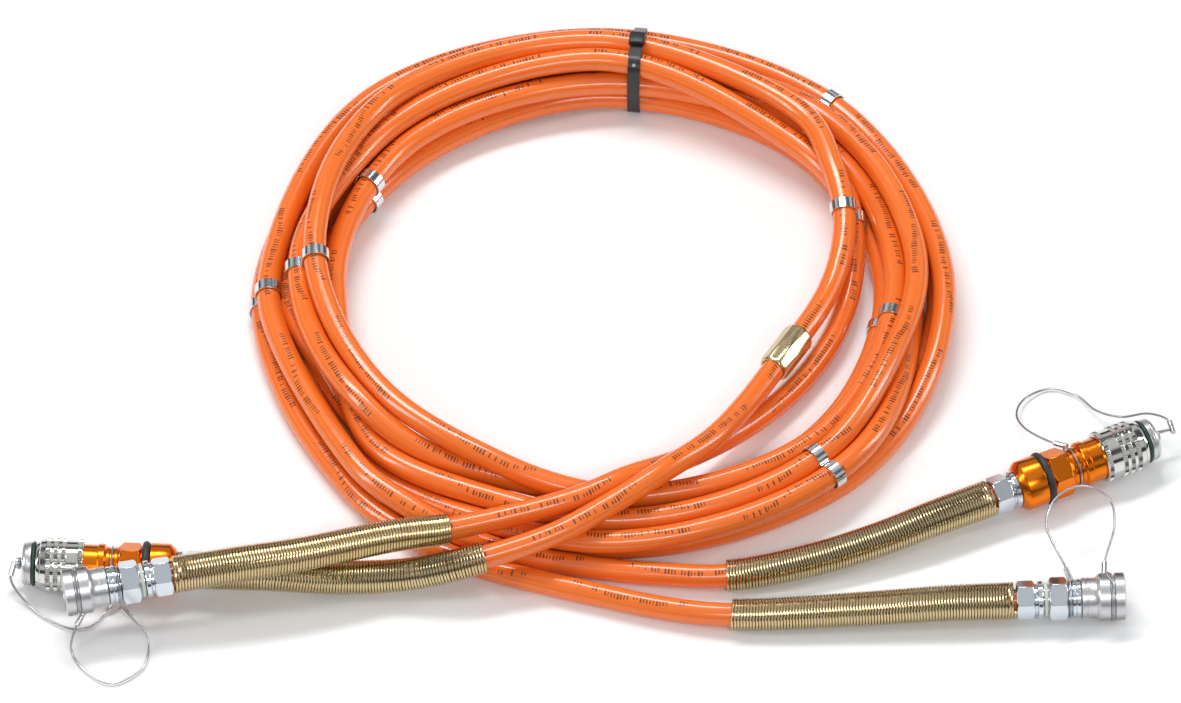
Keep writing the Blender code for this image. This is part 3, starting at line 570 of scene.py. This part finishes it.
for side in COUPLERS:
    body = turned([
        (15.6, 10.7), (16.2, 11.6), (19.0, 14.2), (19.6, 14.5), (30.4, 14.5), (30.8, 14.1),
        (30.8, 12.25), (35.4, 12.25), (35.4, 13.0)] + hexagon(35.6, 47.8, BODY_FLATS) + [
        (48.4, 12.2), (49.2, 11.25), (50.9, 11.25), (51.1, 10.7), (53.6, 10.7), (53.8, 11.25),
        (55.6, 11.25), (56.4, 12.6), (56.9, 13), (60.0, 13), (60.4, 12.6), (60.4, 12.25),
        (69.4, 12.25), (69.4, 10.7), (94.4, 10.7), (94.4, 8.2), (72.4, 8.2), (72.4, 3), (70.9, 3),
        (70.9, 4.6), (55.0, 4.6), (55.0, 2.5), (15.6, 2.5)])
    mill(body, 35.5, 48.0, BODY_FLATS)
    piece(f"{side}_anodised_body", body, side, anodised[side],
          replaced=[f"{side}_body"], ease=0.2)
    bumper = turned(rounded(30.9, 35.3, 12.4, 15.5))
    piece(f"{side}_rubber_bumper", bumper, side, black_rubber,
          replaced=[f"{side}_bumper"])

# ---- Locking sleeves --------------------------------------------------------------------------
# Steel, plated in bright nickel. Three toothed bands give the fingers a grip, a fourth runs round
# the back edge, and the front tapers to the mouth. It slides back against its spring to let go.

BANDS = ((69.2, 71.4), (78.4, 80.6), (82.8, 85.0), (87.2, 89.4))
TOOTH_STEPS = 132
TOOTH_DEPTH = 0.55
bright_nickel = {side: plated(f"bright_nickel_{side}", ((0.66, 0.64, 0.60), (0.76, 0.75, 0.73)), 0.12,
                              80, 900, wear=0.08, turned_in=side) for side in COUPLERS}


def toothed(work, bands, steps, depth, crossed=False):
    """Presses teeth into bands round a turned piece: straight ones, or a crossed knurl."""
    for corner in work.verts:
        along = corner.co.x / MM
        reach = math.hypot(corner.co.y, corner.co.z)
        for low, high, least in bands:
            if low < along < high and reach > least * MM:
                column = round(math.atan2(corner.co.z, corner.co.y) / (2 * math.pi) * steps)
                row = round((along - low) / KNURL_ROW) if crossed else 0
                if (column + row) % 2:
                    corner.co.yz = corner.co.yz * (1 - depth * MM / reach)


for side in COUPLERS:
    outline = [(68.4, 14.0), (68.8, 14.5)]
    for low, high in BANDS:
        outline += [(low - 0.3, 14.3), (low, 15), (high, 15), (high + 0.3, 14.3)]
    outline += [(89.9, 14.6), (92.8, 13.9), (93.4, 13.2), (95.0, 12.9), (95.4, 12.5), (95.4, 11.1),
                (80.4, 11.1), (80.4, 12.65), (68.4, 12.65)]
    sleeve = turned(outline, TOOTH_STEPS)
    toothed(sleeve, [(low - 0.1, high + 0.1, 14.8) for low, high in BANDS], TOOTH_STEPS, TOOTH_DEPTH)
    piece(f"{side}_locking_sleeve", sleeve, side, bright_nickel[side], f"{side}_sleeve",
          [f"{side}_sleeve"])

# ---- Dust plugs -------------------------------------------------------------------------------
# Turned aluminium plugs that click into the couplers, each with a soft ring under its head and a
# small eye on its end for the wire.

PLUG_END = 103.1
dull_aluminium = {side: plated(f"dull_aluminium_{side}", ((0.56, 0.56, 0.57), (0.66, 0.66, 0.67)), 0.34,
                               50, 1000, turned_in=side) for side in COUPLINGS}
green_rubber = plated("green_rubber", ((0.012, 0.035, 0.025), (0.02, 0.05, 0.04)), 0.45, 120, 1500, 0)
stainless = plated("stainless", ((0.50, 0.50, 0.50), (0.62, 0.62, 0.62)), 0.28, 90, 900)

for side in COUPLERS:
    plug = turned([
        (84.4, 0), (84.4, 5.4), (85.0, 6.1), (97.9, 6.1), (97.9, 11.9), (98.3, 12.35), (100.2, 12.35),
        (100.5, 11.9), (101.0, 11.9), (101.3, 12.2), (102.4, 11.9), (PLUG_END, 11.2), (PLUG_END, 9.4),
        (102.6, 9.0), (102.6, 3.4), (103.4, 2.9), (104.2, 2.9), (104.4, 2.1), (105.7, 2.1),
        (105.9, 3.0), (106.9, 3.0), (107.2, 2.6), (107.2, 0)], closed=False)
    piece(f"{side}_dust_plug", plug, side, dull_aluminium[side], f"{side}_plug",
          [f"{side}_plug"], 0.12)
    ring = turned(rounded(95.9, 97.7, 6.4, 12.8))
    piece(f"{side}_soft_ring", ring, side, green_rubber, f"{side}_plug",
          [f"{side}_plug_ring"])

# ---- Nipples and seal rings -------------------------------------------------------------------
# The male half is plated steel: a neck with a pale seal ring, a large nut with chamfered corners, a
# groove for the wire, and a collar that the cap closes on. Its probe is hidden in the cap.

NUT_FLATS = 21.8
pale_seal = plated("pale_seal", ((0.62, 0.64, 0.55), (0.74, 0.75, 0.68)), 0.5, 90, 1200, 0)

for side in NIPPLES:
    nut = turned([(15.6, 8.5), (18.4, 8.5), (18.4, 9.8)] + hexagon(18.6, 29.4, NUT_FLATS) + [
        (29.8, 9.7), (31.8, 9.7), (31.8, 10.6), (32.2, 11), (33.6, 11), (33.8, 10.5), (34.4, 10.5),
        (34.6, 11), (36.4, 11), (36.8, 10.6), (36.8, 6.1), (56.2, 6.1), (56.8, 5.5), (56.8, 3),
        (55.3, 3), (55.3, 4.6), (39.4, 4.6), (39.4, 2.5), (15.6, 2.5)])
    mill(nut, 18.5, 29.5, NUT_FLATS)
    piece(f"{side}_plated_nipple", nut, side, bright_zinc[side], replaced=[f"{side}_nipple"],
          ease=0.15)
    piece(f"{side}_pale_seal", turned(rounded(15.9, 18.1, 8.8, 9.7)), side, pale_seal,
          replaced=[f"{side}_seal_ring"])

# ---- Dust caps --------------------------------------------------------------------------------
# Turned aluminium, with a slim ribbed skirt that widens to a knurled head. The wire lies in a
# groove between the two bands of knurling.

KNURL_ROW = 0.85
KNURL_STEPS = 96
KNURL_DEPTH = 0.4


def knurl_rows(low, high, radius):
    count = round((high - low) / KNURL_ROW)
    return [(low + (high - low) * k / count, radius) for k in range(count + 1)]


for side in NIPPLES:
    cap = turned([
        (37.1, 11.0), (37.4, 11.5), (39.2, 11.5), (39.4, 11.1), (40.4, 11.1), (40.6, 11.6),
        (41.4, 11.6), (41.6, 11.2), (44.8, 11.2), (46.0, 11.8), (46.3, 12.5), (47.0, 12.8)]
        + knurl_rows(47.5, 53.2, 13.5)
        + [(53.6, 12.9), (53.8, 12.3), (55.8, 12.3), (56.0, 12.9)] + knurl_rows(56.4, 61.4, 13.5)
        + [(61.8, 12.6), (62.1, 12.0), (62.1, 10.4), (61.6, 10.0), (61.6, 0), (57.9, 0), (57.9, 6.6),
           (37.1, 6.6)], KNURL_STEPS)
    toothed(cap, ((47.4, 53.3, 13.2), (56.3, 61.5, 13.2)), KNURL_STEPS, KNURL_DEPTH, crossed=True)
    piece(f"{side}_dust_cap", cap, side, dull_aluminium[side], f"{side}_cap",
          [f"{side}_cap"])

# ---- Tethers ----------------------------------------------------------------------------------
# Thin stainless wire rope, with a loop closed by a crimped sleeve at each end. One loop lies in the
# coupling's groove and the other in the cap's groove, or on the plug's eye.

TETHER_OD = 1.3 * MM
TETHER_STEP = 1 * MM
TETHER_CLEAR = 1.8 * MM
CRIMP_LENGTH = 8.5 * MM
CRIMP_OD = 3.2 * MM
LOOP_CORNERS = 48

# Points in millimetres, from the coupling's groove to its plug or cap
TETHERS = {
    "left_coupler": [(-278, -231.5, 6), (-283, -238, 2), (-291, -248, 1), (-300, -250.5, 1),
                     (-315, -243, 1), (-329, -230, 3), (-337, -219, 9), (-335.5, -213, 14)],
    "left_nipple": [(-272, -252, 20), (-266, -254, 13), (-259, -258, 6), (-258, -266, 2),
                    (-262, -280, 1), (-279, -291, 1), (-295, -280, 1), (-302, -266, 3),
                    (-300, -257, 9), (-296, -251, 14)],
    "right_coupler": [(262, -127, 20), (254, -122, 18), (240, -106, 12), (236, -91, 7),
                      (241, -76, 3), (255, -67, 1.5), (270, -72, 2), (282, -87, 5),
                      (296, -97, 11), (311, -98, 15), (322, -103, 15.5), (324.5, -110.5, 15.5)],
    "right_nipple": [(264, -231, 24), (261, -224, 27), (251, -194, 30), (258, -177, 33),
                     (273, -170, 34), (287, -178, 32), (290, -194, 29), (284, -222, 28),
                     (283.5, -229, 27.5)],
}
LOOPS = {"coupler": ((52.3, 11.4), (105.1, 2.9)), "nipple": ((30.8, 10.4), (54.8, 13.0))}

wire_rope, tree, shader = new_material("wire_rope", 0.3, 1.0)
lay = node(tree, "ShaderNodeUVMap", uv_map="lay").outputs["UV"]
strands = node(tree, "ShaderNodeMapping", {"Vector": lay, "Scale": (420, 1, 1)}).outputs[0]
parts = node(tree, "ShaderNodeSeparateXYZ", {0: strands})
slant = arithmetic(tree, "MULTIPLY_ADD", parts.outputs[1], 6.0, parts.outputs[0])
wave = arithmetic(tree, "PINGPONG", slant, 0.5)
# Painted shade: the rope's base colour darkens where the strands dip, in the grooves between them, on top
# of the bump that shapes the same grooves.
groove_shaded_steel = node(tree, "ShaderNodeMix", {0: wave, 6: (0.30, 0.30, 0.31, 1), 7: (0.75, 0.75, 0.75, 1)},
             data_type="RGBA")
tree.links.new(groove_shaded_steel.outputs[2], shader.inputs["Base Color"])
bump = node(tree, "ShaderNodeBump", {"Height": wave, "Strength": 0.5, "Distance": 0.1 * MM})
tree.links.new(bump.outputs[0], shader.inputs["Normal"])



def teardrop(coupling, groove, tip):
    """The line of a loop from a wire's end, round a groove at (distance, radius), and back."""
    along, reach = groove[0] * MM, groove[1] * MM
    local = seat(coupling).inverted() @ Vector(tip)
    facing = math.atan2(local.z, local.y)
    spread = math.acos(min(0.97, reach / math.hypot(local.y, local.z)))
    line = [Vector(tip)]
    for k in range(LOOP_CORNERS + 1):
        turn = facing + spread + (2 * math.pi - 2 * spread) * k / LOOP_CORNERS
        line.append(seat(coupling) @ Vector((along, reach * math.cos(turn), reach * math.sin(turn))))
    return line + [Vector(tip)]


for side, points in TETHERS.items():
    loose = f"{side}_plug" if side in COUPLERS else f"{side}_cap"
    path = smooth_path(np.array(points) * MM - np.array(MIDDLE), TETHER_STEP)
    path = np.array(path)
    path[:, 2] = np.maximum(path[:, 2], TETHER_CLEAR)  # a pulled cap drags its wire down a little
    wire = tube(f"{side}_wire", path, TETHER_OD / 2, 10, wire_rope, body=None)
    for end, body, line in (("fixed", "hoses", path), ("loose", loose, path[::-1])):
        run = Vector(line[2] - line[0]).normalized()
        start = Vector(line[0]) - run * CRIMP_LENGTH * 0.3
        marks = [start + run * CRIMP_LENGTH * k / 4 for k in range(5)]
        crimp = tube(f"{side}_{end}_crimp", marks, CRIMP_OD / 2, 16, stainless, body)
    for groove, end, body, tip in zip(LOOPS[side.split("_")[1]], ("fixed", "loose"),
                                      ("hoses", loose), (path[0], path[-1])):
        loop = tube(f"{side}_{end}_loop", teardrop(side, groove, tip), TETHER_OD / 2, 10, wire_rope, body)
    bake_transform(wire)
    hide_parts(f"{side}_tether")

# ---- Twin clips -------------------------------------------------------------------------------
# Flat strips of bright steel, bent round both hoses in a figure of eight and pinched between them,
# which hold the pair side by side every half turn or so.

CLIP_WIDTH = 6.6 * MM
CLIP_THICK = 0.9 * MM
CLIP_CLEARANCE = 0.35 * MM
CLIP_WAIST = 2.2 * MM
CLIP_CORNERS = 44
clip_steel = plated("clip_steel", ((0.68, 0.72, 0.76), (0.78, 0.80, 0.82)), 0.18, 70, 800)


def clip_frame(paths, angle):
    """Midway between the pair: X along the hoses, Y from one hose to the other."""
    ends = []
    for path in paths:
        mark = abs(turned_through(path) - angle).argmin()
        ends.append((Vector(path[mark]), Vector(path[mark + 1] - path[mark - 1]).normalized()))
    (one, run_one), (two, run_two) = ends
    run = (run_one + run_two).normalized()
    across = one - two
    across = (across - across.dot(run) * run).normalized()
    clip = Matrix((run, across, run.cross(across))).transposed().to_4x4()
    clip.translation = (one + two) / 2 - MIDDLE
    return clip


def band(outline, width, thickness):
    """A closed strip that follows an outline in the YZ plane."""
    work = bmesh.new()
    corners = [work.verts.new((-width / 2, y, z)) for y, z in outline]
    edges = [work.edges.new(pair) for pair in zip(corners, corners[1:] + corners[:1])]
    grown = bmesh.ops.extrude_edge_only(work, edges=edges)["geom"]
    moved = [item for item in grown if isinstance(item, bmesh.types.BMVert)]
    bmesh.ops.translate(work, verts=moved, vec=(width, 0, 0))
    bmesh.ops.recalc_face_normals(work, faces=work.faces)
    bmesh.ops.solidify(work, geom=list(work.faces), thickness=thickness)
    bmesh.ops.recalc_face_normals(work, faces=work.faces)
    return work


def eased(made, width):
    bevel = made.modifiers.new("ease", "BEVEL")
    bevel.width = width
    bevel.segments = 2
    bevel.limit_method = "ANGLE"
    bevel.angle_limit = math.radians(50)


reach = HOSE_OD / 2 + CLIP_CLEARANCE + CLIP_THICK
opened = math.asin(CLIP_WAIST / reach)
figure = []
for side in (1, -1):
    for k in range(CLIP_CORNERS + 1):
        turn = -math.pi + opened + 2 * k * (math.pi - opened) / CLIP_CORNERS
        figure.append((side * (CLIP_PITCH / 2 + reach * math.cos(turn)), side * reach * math.sin(turn)))
for count, angle in enumerate(CLIP_ANGLES, 1):
    work = band(figure, CLIP_WIDTH, CLIP_THICK)
    work.transform(clip_frame(laid, angle))
    strip = finished(f"clip_{count}_strip", work, clip_steel)
    eased(strip, 0.2 * MM)
    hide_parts(f"clip_{count}")

# ---- Marker sleeve ----------------------------------------------------------------------------
# A short steel sleeve crimped to eight flats on the outer hose and plated yellow, for the date.

MARKER_POINT = (101, -61)
MARKER_LENGTH = 31
MARKER_FLATS = 16.8
spot = np.linalg.norm(laid[0][:, :2] - np.array(MARKER_POINT) * MM, axis=1)
nearest = int(spot[:len(spot) // 4].argmin())
run = Vector(laid[0][nearest + 1] - laid[0][nearest - 1]).normalized()
marker_frame = run.to_track_quat("X", "Z").to_matrix().to_4x4()
marker_frame.translation = Vector(laid[0][nearest]) - MIDDLE
half = MARKER_LENGTH / 2
corner = MARKER_FLATS / 2 / math.cos(math.pi / 8)
marker = turned([
    (-half, 8.0), (-half + 0.8, 8.5), (-half + 1.6, corner), (half - 1.6, corner),
    (half - 0.8, 8.5), (half, 8.0), (half, 7.1), (-half, 7.1)], 96)
mill(marker, -half - 0.1, half + 0.1, MARKER_FLATS, 8)
marker.transform(marker_frame)
marker = finished("crimped_marker", marker, yellow_zinc)
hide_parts("marker_sleeve")

# ---- Cable tie --------------------------------------------------------------------------------
# A black nylon tie pulled tight round all eight runs, with its lock on top and a moulded edge.

TIE_WIDTH = 7 * MM
TIE_THICK = 1.3 * MM
TIE_ANGLE = math.radians(83.7)
TIE_CORNERS = 120
black_nylon = plated("black_nylon", ((0.012, 0.012, 0.013), (0.022, 0.022, 0.024)), 0.36, 80, 500, 0)
grey_dot = plated("grey_dot", ((0.30, 0.31, 0.32), (0.38, 0.39, 0.40)), 0.5, 300, 900, 0)

tie_low, tie_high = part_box("cable_tie")
tie_centre = (tie_low + tie_high) / 2
outwards = Vector((math.cos(TIE_ANGLE), math.sin(TIE_ANGLE), 0))
around = Vector((0, 0, 1)).cross(outwards)
centres = []
for path in (path_a, path_b):
    beside = (path - np.array(tie_centre)) @ np.array(around)
    for k in np.nonzero(beside[:-1] * beside[1:] <= 0)[0]:
        point = Vector(path[k]) - tie_centre
        if point.length < tie_high.z:
            centres.append((point.dot(outwards), point.z))
centres = np.array(centres)
belt = []
for k in range(TIE_CORNERS):
    turn = 2 * math.pi * k / TIE_CORNERS
    facing = np.array((math.cos(turn), math.sin(turn)))
    furthest = centres[(centres @ facing).argmax()]
    belt.append(tuple(furthest + (HOSE_OD / 2 + 0.25 * MM + TIE_THICK) * facing))
tie_frame = Matrix((around, outwards, Vector((0, 0, 1)))).transposed().to_4x4()
tie_frame.translation = tie_centre
work = band(belt, TIE_WIDTH, TIE_THICK)
work.transform(tie_frame)
strap = finished("nylon_tie", work, black_nylon)
eased(strap, 0.25 * MM)
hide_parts("cable_tie")

top = max(belt, key=lambda point: point[1])
work = bmesh.new()
bmesh.ops.create_cube(work, size=1)
bmesh.ops.scale(work, verts=work.verts, vec=(TIE_WIDTH * 1.3, 8.5 * MM, 4.2 * MM))
bmesh.ops.translate(work, verts=work.verts, vec=(0, top[0] - 3 * MM, top[1] + 1.2 * MM))
bmesh.ops.bevel(work, geom=work.edges[:], offset=0.9 * MM, segments=3, profile=0.5, affect="EDGES",
                material=-1)
work.transform(tie_frame)
lock = finished("nylon_tie_lock", work, black_nylon)

inner_side = min(range(TIE_CORNERS), key=lambda k: belt[k][0] - belt[k][1])
work = bmesh.new()
bmesh.ops.create_cone(work, cap_ends=True, segments=24, radius1=1.1 * MM, radius2=1.0 * MM,
                      depth=0.5 * MM)
facing = Vector((0, *belt[inner_side])).normalized()
work.transform(facing.to_track_quat("Z", "X").to_matrix().to_4x4())
bmesh.ops.translate(work, verts=work.verts, vec=(0, *belt[inner_side]))
work.transform(tie_frame)
dot = finished("nylon_tie_dot", work, grey_dot)

# ---- Valves, seals and springs inside the couplings -------------------------------------------
# Small steel poppets close both halves, each on its own spring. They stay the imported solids, with a
# worked surface in place of the plain one.

for side in COUPLINGS:
    inside = [f"{side}_poppet", f"{side}_poppet_spring"]
    if side in COUPLERS:
        inside += [f"{side}_sleeve_spring", f"{side}_ball_ring"]
        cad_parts[f"{side}_seal"].material_slots[0].material = black_rubber
    for name in inside:
        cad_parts[name].material_slots[0].material = stainless
